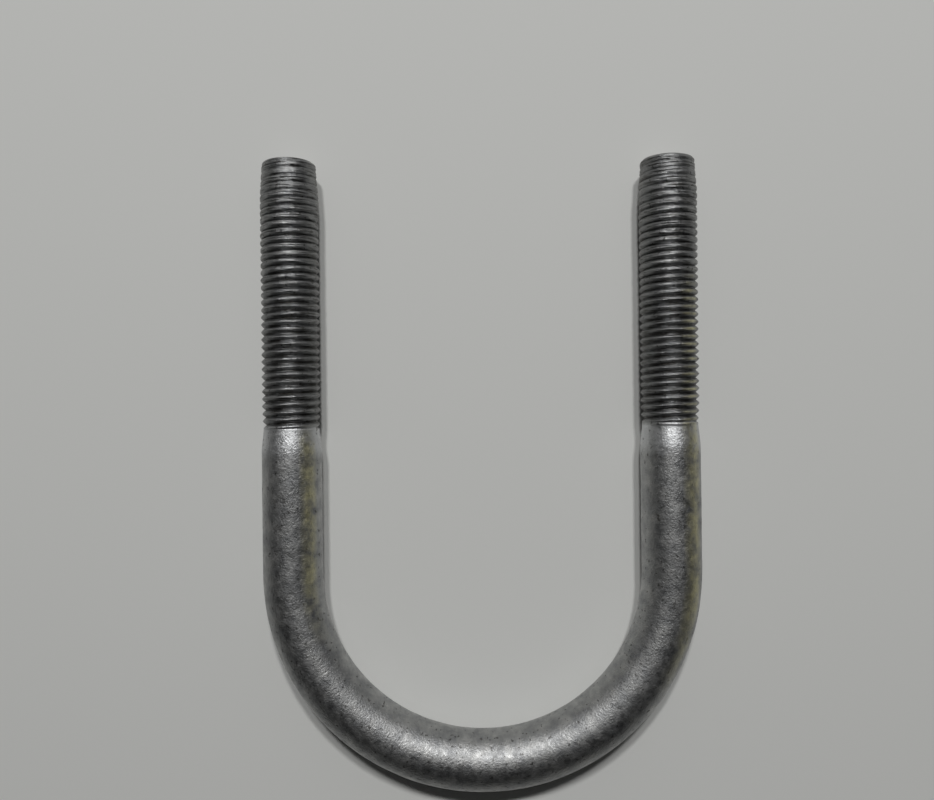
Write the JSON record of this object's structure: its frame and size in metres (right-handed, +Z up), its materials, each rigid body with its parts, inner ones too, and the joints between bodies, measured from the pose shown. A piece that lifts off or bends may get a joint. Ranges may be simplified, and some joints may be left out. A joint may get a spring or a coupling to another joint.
{
  "type": "u-bolt",
  "caption": "Round galvanised steel bar bent to a U, with a metric thread on the end of each leg, for clamping a pipe or bar to a plate.",
  "frame": {"origin": "under the middle of the bounding box, at the height of the surface that the U-bolt lies on", "axes": "+Y along the legs towards the threaded ends, +X across the legs, +Z up, square to the plane of the U"},
  "size_m": [0.119, 0.171, 0.0161],
  "materials": {
    "zinc": "hot-dip galvanised, dull grey and slightly grainy"
  },
  "bodies": {
    "root": {"bend": "zinc", "left_shank": "zinc", "left_neck": "zinc", "left_thread": "zinc", "right_shank": "zinc", "right_neck": "zinc", "right_thread": "zinc"}
  },
  "joints": []
}
